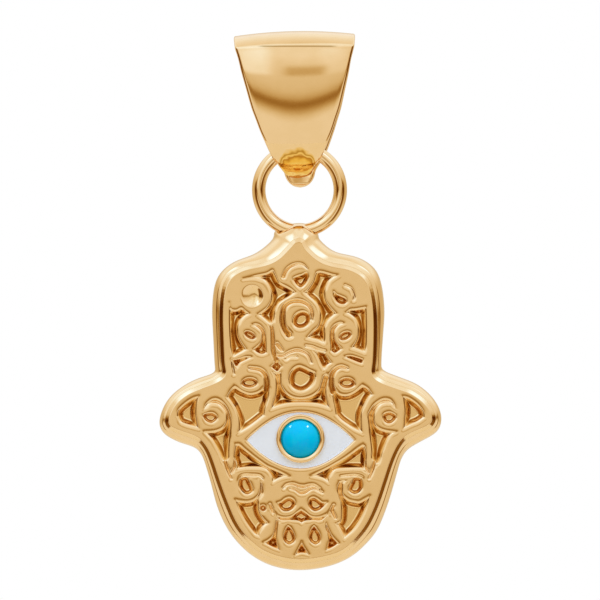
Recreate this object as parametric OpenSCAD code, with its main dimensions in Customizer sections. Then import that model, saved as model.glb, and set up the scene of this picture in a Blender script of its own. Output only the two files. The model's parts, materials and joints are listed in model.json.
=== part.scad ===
// Hand-shaped pendant: a cast plate with raised scrollwork, an eye of enamel and a round stone, a soldered ring
// and a tapered bail. Millimetres, +Z up, the front faces -Y, origin where a chain bears inside the bail's top.

/* [Hand] */
// Width of the hand across both thumbs
hand_w = 18.3; // [14:0.1:26]
// Height of the hand from its lower edge to the top of its neck
hand_h = 22.3; // [18:0.1:30]
// Thickness of the plate
plate_t = 2.1; // [1.6:0.1:3]
// How far the rounded shoulder of the rim falls from the flat front
shoulder_drop = 1.3; // [0.6:0.1:1.5]
// Rounding of the back edge
back_round = 0.3; // [0.1:0.05:0.6]

/* [Scrollwork] */
// Depth of the floor below the raised strands
relief_depth = 0.3; // [0.15:0.05:0.45]
// Narrowest gap between two strands that is kept open
least_gap = 0.08; // [0.04:0.02:0.2]

/* [Eye] */
// Length of the almond of enamel
eye_w = 7; // [6:0.1:8]
// Height of the almond of enamel
eye_h = 3.7; // [3.5:0.1:4.6]
// Width of the metal band around the almond
eye_band = 0.5; // [0.3:0.05:0.8]
// Height of the eye's centre above the lower edge of the hand
eye_z = 8.5; // [7.5:0.1:10]
// Thickness of the enamel
enamel_t = 0.5; // [0.3:0.05:0.7]
// How far the enamel lies below its band
enamel_sink = 0.1; // [0.05:0.05:0.3]

/* [Stone] */
// Diameter of the round stone
stone_d = 2.5; // [2:0.1:2.7]
// Height of the stone's dome above its girdle
stone_dome = 0.55; // [0.3:0.05:0.9]
// Wall of the bezel
bezel_wall = 0.3; // [0.2:0.05:0.4]
// How far the bezel stands above the flat front
bezel_rise = 0.2; // [0.05:0.05:0.5]

/* [Ring] */
// Diameter of the ring's wire
wire_d = 0.88; // [0.7:0.02:1]
// Outside diameter of the ring
ring_d = 6.18; // [5.6:0.1:7.6]

/* [Bail] */
// Width of the bail at its top
bail_w = 7.85; // [6:0.05:10]
// Height of the bail from its top to the tip of its front leaf
bail_h = 9.55; // [8.5:0.05:12]
// Depth of the bail at its top, front to back
bail_depth_top = 4.4; // [3.8:0.1:6]
// Depth of the bail at its bottom, front to back
bail_depth_low = 3.3; // [3.1:0.1:3.6]
// Wall of the bail
bail_wall = 0.5; // [0.35:0.05:0.6]
// Metal under the ring at the bottom of the bail
bail_sole = 0.8; // [0.5:0.05:1.2]
// Lean of the bail to the left, in degrees
bail_lean = 1.2; // [0:0.2:3]
// Width of the tongue at the tip of the back leaf
tongue_w = 2; // [1.4:0.1:2.4]
// How far the tongue shows below the front leaf
tongue_drop = 0.6; // [0.3:0.05:1]

/* [Fit] */
// Gap around the enamel and the stone
gap = 0.02; // [0.01:0.01:0.05]
// Running gap between the ring and the bottom of the bail
ring_gap = 0.15; // [0.05:0.05:0.3]

/* [Hidden] */
$fn = 48;

// The ornament is laid out on a chart: steps across from the centre line, and steps up from the lower edge
chart_w = 282;
chart_h = 343;
step_x = hand_w / chart_w;
step_y = hand_h / chart_h;

// Steps of the smooth edge curve between two rows of the edge table
edge_turns = 3;
// Parts of the shoulder's arc, from the flat front to the side
shoulder_turns = 4;
// Tilt of the shoulder where it leaves the flat front, in degrees
shoulder_start = 25;
// Usual width of the shoulder
rim_w = 11 * step_x;
// How far the shoulder's last strip is carried on, as a share of itself, for the flat front to cut it
over_run = 1.5;

// Neck, fingers, thumbs and palm, from the top down: how far out and how high the outline and the edge of the
// flat front lie, on the left and on the right, in steps
EDGE = [
    // left outline, left flat edge, right outline, right flat edge
    [[15.5, 342], [4.5, 330], [10.5, 341], [3.5, 329.5]],
    [[25.5, 338.5], [7, 327.5], [19, 336], [5, 326]],
    [[27.5, 331], [10.5, 324], [21, 330.5], [9.5, 320]],
    [[44, 317.5], [27.5, 308.5], [35.5, 319], [25.5, 307.5]],
    [[67, 308.5], [56.5, 302], [60.5, 313], [50.5, 302]],
    [[83, 292.5], [71, 290], [79, 297.5], [66, 289.5]],
    [[87.5, 265], [76.5, 265], [85, 265], [73, 265]],
    [[86.5, 235], [76.5, 235], [83.8, 238], [74.8, 238]],
    [[85.2, 208], [75.5, 210], [82, 210], [74.5, 213]],
    [[86, 198], [74.5, 194], [84, 200.5], [73, 193]],
    [[103.5, 191.7], [94.5, 184.5], [100.5, 193.5], [92.5, 184]],
    [[120, 182.5], [111, 178], [119, 185.8], [110.5, 178]],
    [[133, 169.5], [125, 167], [134.5, 171.8], [126.5, 166.5]],
    [[140.3, 151], [132, 152], [142, 155], [133.5, 154]],
    [[136.5, 138], [128.5, 144.2], [138.2, 139.5], [129.5, 146.2]],
    [[122, 129], [117.5, 140.3], [121.5, 129.2], [113.5, 140]],
    [[105.5, 123.5], [102.5, 134.5], [109.5, 122], [104.5, 135]],
    [[98, 116], [93.5, 124], [102.5, 113], [98, 126]],
    [[93.5, 104], [87, 109], [98, 99], [91, 111.5]],
    [[88.5, 87], [80.5, 90], [93, 81], [84.5, 93]],
    [[82.5, 64], [72, 70], [86.5, 61], [76, 68.5]],
    [[73.5, 44], [62.5, 48], [78, 41], [67, 49.5]],
    [[61.5, 27.5], [52, 34.5], [66.5, 26.5], [57.5, 36]],
    [[45.5, 13.5], [39.5, 23], [50.5, 13.2], [45, 22]],
    [[25.5, 4], [22.5, 15.7], [28.5, 4], [26.5, 15.2]],
];
// The outline and the edge of the flat front on the centre line, at the top and at the bottom
EDGE_TOP = [[0, 343], [0, 330.5]];
EDGE_LOW = [[0, 0.2], [0, 11.6]];

// Fields of the front that are sunk to the floor, as corners in steps
FINGER_FIELD = [
    [-70, 262], [-66, 284], [-56, 292], [-28, 301], [0, 306], [19, 300], [45, 294], [60, 285], [66, 262],
    [67, 225], [63, 208], [66, 186], [68, 174], [60, 143], [-62, 138], [-72, 174], [-64, 186],
    [-64, 206], [-69, 225],
];
PALM_FIELD = [
    [-64, 127], [-62, 103], [-66, 92], [-66, 73], [-42, 40], [-34, 30], [-20, 22], [-6, 16], [8, 16],
    [28, 22], [40, 31], [46, 40], [68, 68], [70, 90], [64, 103], [66, 127], [0, 96],
];

// Round loops of the scrollwork: across, up, half width, half height
LOOPS = [
    [-46, 274.5, 17.6, 18], [-45.5, 236, 16.5, 20], [-49.5, 191, 14, 13.5],
    [0, 293, 18, 14], [-1.5, 256, 22, 22], [1.5, 192.5, 21, 21],
    [41, 274, 17.5, 18], [45, 236, 17.5, 20], [46, 190, 14.5, 14],
    [-50, 84, 18.5, 17], [55, 83, 17.5, 17], [-13, 68, 15.5, 15], [16, 68, 15.5, 15],
];

// Holes and pits in the loops: across, up, half width, half height, turn in degrees
HOLES = [
    [-46.5, 274, 9, 8, 0], [-50, 235.5, 4.5, 2.5, -30], [-49.5, 188, 6, 3.5, 0],
    [1, 292.5, 6.5, 4, 10], [2.5, 251, 8.5, 6, 35], [0.5, 192, 12, 9.5, -15],
    [41, 270.5, 6, 3, -10], [45, 234.5, 5, 3, 30], [47, 188.5, 6, 3.5, 0],
    [-88.5, 152.5, 6, 3.5, -10], [89.5, 152.5, 6, 4, 0],
    [-55, 86.5, 4, 7, 15], [56.5, 86.5, 4, 7, -8], [-12, 67, 6, 4, 35], [14.5, 67, 6, 4, -35],
    [-11.5, 36.5, 3.5, 8, 0], [15, 36.5, 3.5, 8, 0], [2, 53.5, 4, 4, 0],
];

// Strands that join the loops: across, up and half width at one end, then at the other
STRANDS = [
    [[-46, 258, 5], [-46, 252, 5]], [[-49, 222, 6], [-52, 206, 9]], [[-52, 212, 6], [-34, 212, 6]],
    [[-68, 194, 6], [-50, 207, 6]], [[-50, 207, 6], [-34, 202, 6]], [[-34, 202, 6], [-28, 190, 5]],
    [[-28, 190, 5], [-34, 160, 5]],
    [[0, 280, 6], [0, 277, 6]], [[0, 235, 8], [0, 213, 8]], [[-18, 226, 6], [18, 226, 6]], [[18, 226, 6], [30, 208, 6]],
    [[0, 172, 6], [0, 164, 8]],
    [[41, 258, 5], [42, 252, 5]], [[46, 222, 6], [50, 206, 9]], [[46, 212, 6], [62, 214, 6]],
    [[30, 208, 6], [27, 190, 5]], [[27, 190, 5], [34, 160, 5]], [[60, 204, 6], [66, 192, 6]],
    [[-28, 88, 5], [0, 88, 8]], [[0, 88, 8], [30, 88, 5]], [[-32, 84, 8], [-34, 62, 6]], [[34, 84, 8], [38, 56, 5]],
    [[-34, 62, 6], [-32, 52, 5]], [[-32, 52, 5], [-38, 32, 5]], [[38, 56, 5], [34, 50, 5]], [[34, 50, 5], [42, 34, 5]],
    [[-14, 54, 5], [-20, 44, 5]], [[-20, 44, 5], [-20, 26, 5]], [[16, 54, 5], [24, 44, 5]], [[24, 44, 5], [24, 26, 5]],
    [[2, 48, 6], [1, 26, 8]], [[-16, 48, 6], [16, 48, 6]],
];

// Pits of the thumbs: a triangle and the long wedge beside the palm, as corners in steps
THUMB_PITS = [
    [[-122, 156], [-105, 170], [-103, 147]], [[-93, 137], [-72, 140], [-76, 112]],
    [[124, 157], [107, 171], [104, 148]], [[72, 140], [92, 136], [77, 110]],
];

// How far the incised curls go round their centres: across, up, radius, first and last angle, half width
CURLS = [
    [-86, 155, 16, -60, 150, 2.2], [88.5, 156, 15.5, 30, 240, 2.2],
    [-48, 190, 17, -40, 90, 1.6], [46, 190, 17, 100, 200, 1.6],
    [-47, 236, 12, -30, 70, 1.6], [46, 236, 14, 110, 200, 1.6],
    [-1.5, 255, 15.5, 20, 200, 1.6], [2, 192, 17, 60, 200, 1.2],
];
curl_turns = 8;

// Heights and depths of the bail
seat_r = bail_depth_top / 2 - bail_wall;
bail_top_z = bail_wall;
bail_low_z = bail_top_z - bail_h;
sole_z = bail_low_z + bail_sole;
top_out_r = bail_depth_top / 2;
low_out_r = bail_depth_low / 2;
low_in_r = low_out_r - bail_wall;

// Half width of the bail, as shares of its height from the top and of half its top width
BAIL_TAPER = [
    [0, 0.965], [0.03, 1], [0.064, 1], [0.161, 0.937], [0.34, 0.828], [0.551, 0.692], [0.755, 0.531],
    [0.888, 0.389], [0.946, 0.281], [0.98, 0.19], [0.995, 0.1], [1, 0],
];

// Half width of the bail where the ring sits, as a share of half its top width
low_share = 0.35;
// How far the tongue stands behind the middle, as a share of the bail's depth there
tongue_share = 0.175;

// Places of the ring and the hand, below the chain's seat
ring_r = (ring_d - wire_d) / 2;
low_half_w = bail_w / 2 * low_share;
ring_in_r = ring_d / 2 - wire_d;
ring_z = sole_z + ring_gap - sqrt(pow(ring_in_r, 2) - pow(low_half_w, 2));
neck_z = ring_z - ring_r + wire_d / 4;
hand_z = neck_z - hand_h;

// Levels of the eye, above the back of the plate
pocket_t = enamel_sink + enamel_t + gap;
seat_t = enamel_t;
bezel_r = stone_d / 2 + gap + bezel_wall;

function step(p) = [p[0] * step_x, p[1] * step_y];
function steps(list) = [for (p = list) step(p)];

// A point on the smooth curve between b and c, where a and d are the points before and after them
function between(a, b, c, d, t) =
    0.5 * (2 * b + (c - a) * t + (2 * a - 5 * b + 4 * c - d) * t * t + (3 * b - a - 3 * c + d) * t * t * t);
function smooth(list, turns) = [
    for (i = [0 : len(list) - 1], k = [0 : turns - 1])
        let (n = len(list))
        between(list[(i + n - 1) % n], list[i], list[(i + 1) % n], list[(i + 2) % n], k / turns)
];

// The whole closed edge, of the outline (0) or of the flat front (1), counter-clockwise from the top
function mirrored(p) = [-p[0], p[1]];
function edge(which) = smooth(steps([
    EDGE_TOP[which],
    for (row = EDGE) mirrored(row[which]),
    EDGE_LOW[which],
    for (i = [len(EDGE) - 1 : -1 : 0]) EDGE[i][which + 2],
]), edge_turns);

// A point of the shoulder: it falls along an arc from the flat edge, tilted at the start, to the upright side
function shoulder_share(k) =
    let (a = shoulder_start + (90 - shoulder_start) * k / shoulder_turns)
    [(sin(a) - sin(shoulder_start)) / (1 - sin(shoulder_start)), 1 - cos(a) / cos(shoulder_start)];

// The two triangles between places i and i + 1 on the left of a ring of n points and their partners on the right
function band(i, n) =
    let (right = (n - i) % n, low = n - i - 1)
    i == 0 ? [[0, 1, low]] : i + 1 == low ? [[i, low, right]] : [[i, i + 1, low], [i, low, right]];

// Body of the hand without its flat front: rings of points from the back, round the side and up the shoulder,
// joined by strips. The last ring runs on past the edge of the flat front, which then cuts it off.
module shouldered_body() {
    outline = edge(0);
    flat = edge(1);
    n = len(outline);
    function inset(share, z) = [for (i = [0 : n - 1])
        let (p = outline[i] + (flat[i] - outline[i]) * share) [p[0], p[1], z]];
    function shoulder(k) = let (s = shoulder_share(k)) inset(1 - s[0], plate_t - shoulder_drop * s[1]);
    rings = [
        inset(back_round / rim_w, 0),
        inset(0, back_round),
        for (k = [shoulder_turns : -1 : 1]) shoulder(k),
        shoulder(1) + (shoulder(0) - shoulder(1)) * over_run,
    ];
    m = len(rings);
    points = [for (ring = rings) each ring];
    strips = [
        for (j = [0 : m - 2], i = [0 : n - 1])
            let (a = j * n + i, b = j * n + (i + 1) % n)
            each [[a, b + n, b], [a, a + n, b + n]]
    ];
    // Each end is closed by bands that run from the left side to the point at the same place on the right
    back = [for (i = [0 : n / 2 - 1]) each band(i, n)];
    front = [for (t = back) [t[2], t[1], t[0]] + (m - 1) * [n, n, n]];
    polyhedron(points, concat(strips, back, front));
}

// Slab that gives the hand its flat front, with the eye's pocket and all that lies between the strands sunk into it
module front_slab() {
    difference() {
        translate([-hand_w, -hand_h / 2, -plate_t]) cube([2 * hand_w, 2 * hand_h, 2 * plate_t]);
        translate([0, 0, plate_t - relief_depth]) linear_extrude(2 * relief_depth) sunk_work();
        translate([0, 0, plate_t - pocket_t]) linear_extrude(2 * pocket_t) almond(eye_w, eye_h);
    }
}

// A strand with round ends that tapers from one half width to the other
module strand(a, b) {
    pa = step(a);
    pb = step(b);
    ra = a[2] * step_x;
    rb = b[2] * step_x;
    along = (pb - pa) / norm(pb - pa);
    side = [-along[1], along[0]];
    translate(pa) circle(ra, $fn = 12);
    translate(pb) circle(rb, $fn = 12);
    polygon([pa + side * ra, pb + side * rb, pb - side * rb, pa - side * ra]);
}

// An incised curl: a band of the given half width round an arc
module curl(row) {
    turns = curl_turns;
    function at(r, k) =
        let (a = row[3] + (row[4] - row[3]) * k / turns)
        step([row[0] + r * cos(a), row[1] + r * sin(a)]);
    // The band narrows to nothing at both ends
    function half(k) = row[5] * sin(180 * k / turns);
    polygon(concat(
        [for (k = [0 : turns]) at(row[2] + half(k), k)],
        [for (k = [turns - 1 : -1 : 1]) at(row[2] - half(k), k)]
    ));
}

// An upright or turned oval
module oval(row, turn = 0) {
    translate(step(row)) rotate(turn) scale([row[2] * step_x, row[3] * step_y]) circle(1, $fn = 20);
}

// Almond: two parabolas that meet in its two corners
module almond(w, h) {
    turns = 12;
    function arch(side) = [for (k = [0 : turns - 1])
        let (u = side * (1 - 2 * k / turns)) [u * w / 2, side * h / 2 * (1 - u * u)]];
    translate([0, eye_z]) polygon(concat(arch(1), arch(-1)));
}

module eye_outline() {
    almond(eye_w + 4 * eye_band, eye_h + 2 * eye_band);
}

// All that is sunk between the strands
module sunk_work() {
    offset(delta = least_gap / 2) offset(delta = -least_gap / 2) {
        difference() {
            union() {
                polygon(steps(FINGER_FIELD));
                polygon(steps(PALM_FIELD));
            }
            for (row = LOOPS) oval(row);
            for (row = STRANDS) strand(row[0], row[1]);
            eye_outline();
        }
        for (row = HOLES) oval(row, row[4]);
        for (pit = THUMB_PITS) polygon(steps(pit));
        for (row = CURLS) curl(row);
    }
}

// The hand, flat on its back with its lower edge at the origin, before it is stood up
module flat_hand() {
    difference() {
        union() {
            intersection() {
                shouldered_body();
                front_slab();
            }
            translate([0, eye_z, plate_t - pocket_t]) cylinder(h = pocket_t + bezel_rise, r = bezel_r);
        }
        translate([0, eye_z, plate_t - seat_t]) cylinder(h = 2 * seat_t, r = stone_d / 2 + gap);
    }
}

// Stands a flat-lying piece up, facing the front, with the plate's middle over the origin
module stood() {
    translate([0, plate_t / 2, hand_z]) rotate([90, 0, 0]) children();
}

module ring() {
    translate([0, 0, ring_z]) rotate([90, 0, 0]) rotate_extrude() translate([ring_r, 0]) circle(wire_d / 2);
}

module hamsa_body() {
    color("goldenrod") union() {
        stood() flat_hand();
        ring();
    }
}

module white_enamel() {
    color("whitesmoke") stood() difference() {
        translate([0, 0, plate_t - pocket_t + gap]) linear_extrude(enamel_t)
            almond(eye_w - 3 * gap, eye_h - 2 * gap);
        translate([0, eye_z, 0]) cylinder(h = 2 * plate_t, r = bezel_r + gap);
    }
}

// Domed stone: a flat-bottomed girdle under a cap of a sphere
module turquoise_cabochon() {
    r = stone_d / 2;
    dome_r = (pow(r, 2) + pow(stone_dome, 2)) / (2 * stone_dome);
    girdle = seat_t - gap;
    color("darkturquoise") stood() translate([0, eye_z, plate_t - seat_t + gap]) {
        cylinder(h = girdle, r = r);
        translate([0, 0, girdle]) intersection() {
            cylinder(h = stone_dome, r = r);
            translate([0, 0, stone_dome - dome_r]) sphere(dome_r);
        }
    }
}

// Side view of the loop: two circles joined by straight leaves, as distances across (front to back) and up
module loop_side(top_r, top_z, low_r, low_z) {
    a = asin((top_r - low_r) / (top_z - low_z));
    translate([0, top_z]) circle(top_r);
    translate([0, low_z]) circle(low_r);
    polygon([
        [top_r * cos(a), top_z - top_r * sin(a)], [low_r * cos(a), low_z - low_r * sin(a)],
        [-low_r * cos(a), low_z - low_r * sin(a)], [-top_r * cos(a), top_z - top_r * sin(a)],
    ]);
}

// Front view of the loop, from the taper table
module loop_front() {
    function row_at(side, row) = [side * row[1] * bail_w / 2, bail_top_z - row[0] * bail_h];
    polygon(concat(
        [for (row = BAIL_TAPER) row_at(1, row)],
        [for (i = [len(BAIL_TAPER) - 2 : -1 : 0]) row_at(-1, BAIL_TAPER[i])]
    ));
}

// Rounded tip of the back leaf, below the bottom of the loop
module tongue() {
    r = tongue_w / 2;
    tip_z = bail_low_z - tongue_drop;
    root_z = sole_z - bail_sole / 4;
    translate([0, bail_depth_low * tongue_share, 0]) rotate([-90, 0, 0]) linear_extrude(bail_wall) {
        translate([0, -(tip_z + r)]) circle(r);
        translate([-r, -root_z]) square([tongue_w, root_z - tip_z - r]);
    }
}

module bail() {
    color("gold") translate([0, 0, ring_z + ring_r]) rotate([0, -bail_lean, 0]) translate([0, 0, -ring_z - ring_r]) {
        intersection() {
            difference() {
                rotate([90, 0, 90]) translate([0, 0, -bail_w]) linear_extrude(2 * bail_w)
                    loop_side(top_out_r, bail_top_z - top_out_r, low_out_r, bail_low_z + low_out_r);
                rotate([90, 0, 90]) translate([0, 0, -2 * bail_w]) linear_extrude(4 * bail_w)
                    loop_side(seat_r, bail_top_z - top_out_r, low_in_r, sole_z + low_in_r);
            }
            rotate([90, 0, 0]) translate([0, 0, -bail_depth_top]) linear_extrude(2 * bail_depth_top) loop_front();
        }
        tongue();
    }
}

bail();
hamsa_body();
white_enamel();
turquoise_cabochon();
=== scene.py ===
"""Looks of a hand-shaped gold pendant: scrollwork, an enamel eye with a round stone, a ring and a bail."""

import json
import math

import bmesh
import bpy
import numpy as np
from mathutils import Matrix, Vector


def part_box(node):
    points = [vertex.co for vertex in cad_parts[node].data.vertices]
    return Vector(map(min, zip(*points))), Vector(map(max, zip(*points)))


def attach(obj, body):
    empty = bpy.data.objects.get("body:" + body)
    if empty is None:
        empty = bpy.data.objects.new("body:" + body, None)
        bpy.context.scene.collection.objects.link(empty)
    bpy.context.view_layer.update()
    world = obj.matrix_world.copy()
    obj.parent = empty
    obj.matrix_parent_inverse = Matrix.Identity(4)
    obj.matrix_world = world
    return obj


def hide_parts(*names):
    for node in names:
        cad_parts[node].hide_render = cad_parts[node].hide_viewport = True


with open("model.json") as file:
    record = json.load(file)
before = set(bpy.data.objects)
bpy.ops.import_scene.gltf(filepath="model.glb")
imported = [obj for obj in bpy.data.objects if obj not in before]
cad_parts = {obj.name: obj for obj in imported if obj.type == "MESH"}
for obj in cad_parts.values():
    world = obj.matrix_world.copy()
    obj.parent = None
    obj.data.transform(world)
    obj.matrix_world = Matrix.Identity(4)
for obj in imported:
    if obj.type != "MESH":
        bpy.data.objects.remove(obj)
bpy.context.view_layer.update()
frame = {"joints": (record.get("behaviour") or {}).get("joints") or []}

MM = 0.001

# Sizes in millimetres. The front faces -Y and Z is up.
HALF_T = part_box("hamsa_body")[1][1] / MM
PIVOT_Z = frame["joints"][0]["pos_m"][2] / MM
RING_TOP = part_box("hamsa_body")[1][2] / MM
RING_ACROSS = 6.18
RING_WIRE_R = RING_TOP - PIVOT_Z
RING_R = RING_ACROSS / 2 - RING_WIRE_R
RING_TURNS = 192
WIRE_TURNS = 48
# Tilt of the shoulder in degrees by the share of the rim's width, at the sides and round the neck
SHOULDER_TILTS = ((0, 0.36, 0.47, 0.75, 0.92, 1), (10, 14, 40, 60, 78, 87))
NECK_TILTS = ((0, 0.4, 0.6, 0.8, 0.92, 1), (20, 28, 38, 60, 78, 87))
# Most that the shoulder falls, and how far the lip under the front reaches in and lies back
SHOULDER_MOST = 1.6
LIP_INSET = 0.14
LIP_BACK = 0.06
SHOULDER_RINGS = 28
SIDE_RINGS = 3
ROUND_RINGS = 7
# Share of the rim's width by which the flat front reaches past its charted edge
FLAT_REACH = 0.3
BACK_ROUND = 0.3
RIM_LEAST = 0.3
RELIEF_DEPTH = 0.42
RELIEF_WALL = 0.44
# Widest wall of a small hole, as a share of half its smaller extent
NARROW_SHARE = 0.6
EDGE_SOFTNESS = 0.02
STROKE_SLOPE = 1.7
CROWN_DROP = 0.018
CROWN_STEPS = 4.5
# Step between the flat front and the rim, and its width in chart steps; it fades out toward the neck
RIM_ROUND = 0.12
RIM_ROUND_STEPS = 3.6
RIM_ROUND_LEAST = 0.3
RIM_ROUND_SOFTNESS = 0.05
FADE_START = 285
FADE_END = 315
# Bands of the front: heights in steps where they meet, and their rows and columns
BAND_HEIGHTS = (194, 128, 84)
FINGER_GRID = (262, 310)
THUMB_GRID = (150, 640)
EYE_GRID = (110, 560)
PALM_GRID = (190, 440)
# Finer rows at the top and at the bottom: how high they reach in steps, their number, and how they crowd
FINE_REACH = 4
TOP_ROWS = (14, -0.9)
LOW_ROWS = (18, 0.9)

# The ornament's chart, in steps across from the left and down from the top: middle line and lower edge
CENTRE = 299.5
LOW = 570.0
STEPS_ACROSS = 282.3
STEP = (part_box("hamsa_body")[1][0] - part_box("hamsa_body")[0][0]) / MM / STEPS_ACROSS
HAND_LOW_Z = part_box("hamsa_body")[0][2] / MM - 0.2 * STEP
CURVE_TURNS = 6
OVAL_TURNS = 40
PLACES_AT_ONCE = 20_000
RIM_PARTS = 80

# Eye, stone and bezel, in millimetres
EYE_ACROSS = 300.4
EYE_DOWN = 439.2
EYE_X = (EYE_ACROSS - CENTRE) * STEP
EYE_Z = HAND_LOW_Z + (LOW - EYE_DOWN) * STEP
# The round bezel and stone sit a little above the middle of the almond
STONE_UP = 0.12
EYE_HALF_W = 3.5
EYE_HALF_H = 1.84
POCKET_DEPTH = 0.3
POCKET_SLOPE = 2.0
ENAMEL_SINK = 0.1
MENISCUS = 0.03
MENISCUS_WIDE = 0.06
ENAMEL_GAP = 0.02
ENAMEL_TUCK = 0.01
ENAMEL_RINGS = (0, 0.02, 0.05, 0.1, 0.2, 0.3, 0.4, 0.5, 0.6, 0.7, 0.8, 0.9, 0.95, 0.98, 1)
STONE_R = 1.25
STONE_DOME = 0.55
STONE_GIRDLE = 0.05
STONE_BASE = 0.4
STONE_TURNS = 96
STONE_RINGS = 28
BEZEL_R = 1.57
BEZEL_RISE = 0.2
BEZEL_FOOT = 0.25
BEZEL_ROUND = 0.1
BEZEL_TURNS = 128
BEZEL_ARC = (12, 90, 7)
# The lip's slope in to the stone: how far out from its inner wall and how far below its top
BEZEL_LIP = ((0.07, 0.015), (0.02, 0.06), (0, 0.13))
BEZEL_TUCK = 0.02

# Bail, in millimetres
BAIL_TOP_Z = 0.5
BAIL_LOW_Z = -9.05
BAIL_HALF_W = 3.925
BAIL_WALL = 0.5
BAIL_SOLE = 0.8
BAIL_CROWN = 0.26
EDGE_ACROSS = 0.22
EDGE_THROUGH = 0.24
BAIL_LEAN = 1.2
BAIL_STATIONS = 400
ARC_STEPS = 60
PATH_ROUNDS = 5
WIDTH_ROUNDS = 12
NORMAL_ROUNDS = 200
# Spread of the thick sole, and the strip's ends: share of the thickness left, and over what length
SOLE_SPREAD = 0.9
END_THIN = 0.35
END_LENGTH = 0.3
ROUND_LEAST = 0.0004
# Growth of the edge radius from the top down, its least share, and the most it takes of width and thickness
EDGE_GROWTH = 6
EDGE_LEAST = 0.35
ACROSS_MOST = 0.98
THROUGH_MOST = 0.49
# Arcs of the bail's side view: centre in y and z, radius, and angles below level at which the face looks
TIP_ARC = (2.273, -5.288, 4.15, 65, 12)
LEAF_ARC = (16.015, -2.367, 18.2, 12, -5.5)
CROWN_ARC = (0, -2.25, 2.75, -40, -140)
TONGUE_PATH = ((1.7, -7.3), (1.55, -7.9), (1.25, -8.4), (1.1, -8.7), (1.08, -9.0), (1.08, -9.65))
FRONT_TIP = 0.3
TONGUE_HALF = 1.0
# Half width of the bail, as shares of its height from the top and of half its top width
BAIL_TAPER = (
    (0, 1), (0.027, 1), (0.075, 0.99), (0.129, 0.968), (0.197, 0.927), (0.265, 0.894), (0.334, 0.853),
    (0.4, 0.811), (0.47, 0.769), (0.538, 0.725), (0.606, 0.665), (0.674, 0.61), (0.742, 0.546),
    (0.81, 0.483), (0.844, 0.447), (0.888, 0.389), (0.912, 0.34), (0.946, 0.283), (0.975, 0.23),
    (0.99, 0.19), (1, 0.13),
)
BAIL_ASIDE = -0.18
ASIDE_SHARE = 0.4
# Swing of the ring in degrees, its gap to the bail's inner face, and the least width that face keeps
SWING_LIMIT = 45
RING_GAP = 0.03
INSIDE_LEAST = 0.35
# Painted reflection of the ring on the front leaf's curled tip: gold by height in millimetres
TIP_REFLECTION_TINTS = (
    (-9.2, (0.75, 0.4, 0.08)), (-8.95, (0.62, 0.24, 0.012)), (-8.8, (0.98, 0.65, 0.2)),
    (-8.65, (0.88, 0.5, 0.09)), (-8.25, (0.95, 0.6, 0.14)), (-7.95, (0.9, 0.47, 0.06)),
    (-7.73, (0.5, 0.18, 0.01)), (-7.6, (0.98, 0.6, 0.15)), (-7.48, (0.5, 0.22, 0.02)),
    (-7.35, (0.85, 0.5, 0.12)), (-7.15, (0.91, 0.63, 0.32)),
)
TIP_UNEVEN = 0.7
# Middle of the tip's painted reflection in x, and how fast it drops toward the sides
TIP_X = -0.13
TIP_DROP = 0.38
TIP_WAVES = 1800.0
# Where the painted reflection ends upward in z and backward in y
TIP_END = (-7.15, -7.1)
TIP_BACK = (0.5, 0.6)
# Fine painted shadow line where the strip folds over the top, how wide it is and how far aside it reaches
FOLD_Z = -0.6
FOLD_EDGE = (0.025, 0.075)
FOLD_REACH = (2.1, 2.7)
FOLD_SHADE_TINT = (0.55, 0.33, 0.12)

# Colours: two near tints each of the gold, the enamel and the stone, and the floor's
GOLD = (0.91, 0.63, 0.32)
GOLD_DEEP = (0.89, 0.61, 0.30)
ENAMEL_TINTS = ((0.90, 0.93, 0.95), (0.93, 0.96, 0.98))
STONE_TINTS = ((0.0, 0.45, 0.78), (0.0, 0.51, 0.74))
FLOOR_TINT = (0.95, 0.86, 0.68)
# Noise of the gold in waves to the metre, and how much of it reaches the gloss
GOLD_CLOUDS = 900.0
GOLD_GRAIN = 9000.0
GOLD_WAVES = 520.0
GLOSS_UNEVEN = 0.04
# Gold in the hollows of the front by depth below the flat front, in millimetres, with painted shade: amber
# walls and a gold floor
RECESS_LOW = 0.5
RECESS_START = 0.3
RECESS_DULL = 0.06
RECESS_SHADE_TINTS = (
    (0, (0.90, 0.62, 0.31)), (0.17, (0.88, 0.6, 0.27)), (0.25, (0.68, 0.4, 0.12)),
    (0.31, (0.51, 0.23, 0.04)), (0.375, (0.56, 0.27, 0.05)), (0.405, (0.74, 0.45, 0.15)),
    (0.42, (0.87, 0.58, 0.25)),
)

# View and light
VIEW_DISTANCE = 300
VIEW_WIDTH = 39.0
VIEW_X = 0.03
VIEW_Z = -16.98
FLOOR_Z = -0.1
FLOOR_R = 0.1
FLOOR_SIDES = 96
SENSOR = 36
# Level of the light by its height in degrees: in front, at the sides and behind
FRONT_LIGHT = (
    (-90, 0.93), (-18, 0.93), (-15.4, 0.74), (-12.9, 0.4), (-11.6, 0.24), (-10.3, 0.18), (-9, 0.27),
    (-7.7, 0.5), (-5.2, 0.7), (-2.6, 0.77), (0, 0.8), (3, 0.82), (7.5, 0.92), (10, 1.02), (25, 1.05),
    (35, 1.12), (50, 1.22), (62, 1.2), (74, 0.92), (90, 0.88),
)
SIDE_LIGHT = (
    (-90, 0.93), (-52, 0.85), (-44, 0.4), (-36, 0.14), (-14, 0.1), (-6, 0.05), (3, 0.02), (9, 0.15),
    (14, 0.75), (22, 0.95), (32, 1.02), (58, 1.05), (72, 1.0), (90, 0.9),
)
BACK_LIGHT = (
    (-90, 0.95), (-50, 0.85), (-20, 0.85), (-8, 0.64), (12, 0.64), (24, 0.9), (38, 1.2), (58, 1.2),
    (90, 0.9),
)
# Degrees aside over which the front's light gives way to the sides', and that to the back's
SIDE_FROM = (31.0, 43.0)
BACK_FROM = (58.0, 90.0)
# How much higher the front's bands lie with the square of the degrees aside, and at most
BAND_SAG = 0.018
BAND_SAG_MOST = 12.0
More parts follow.
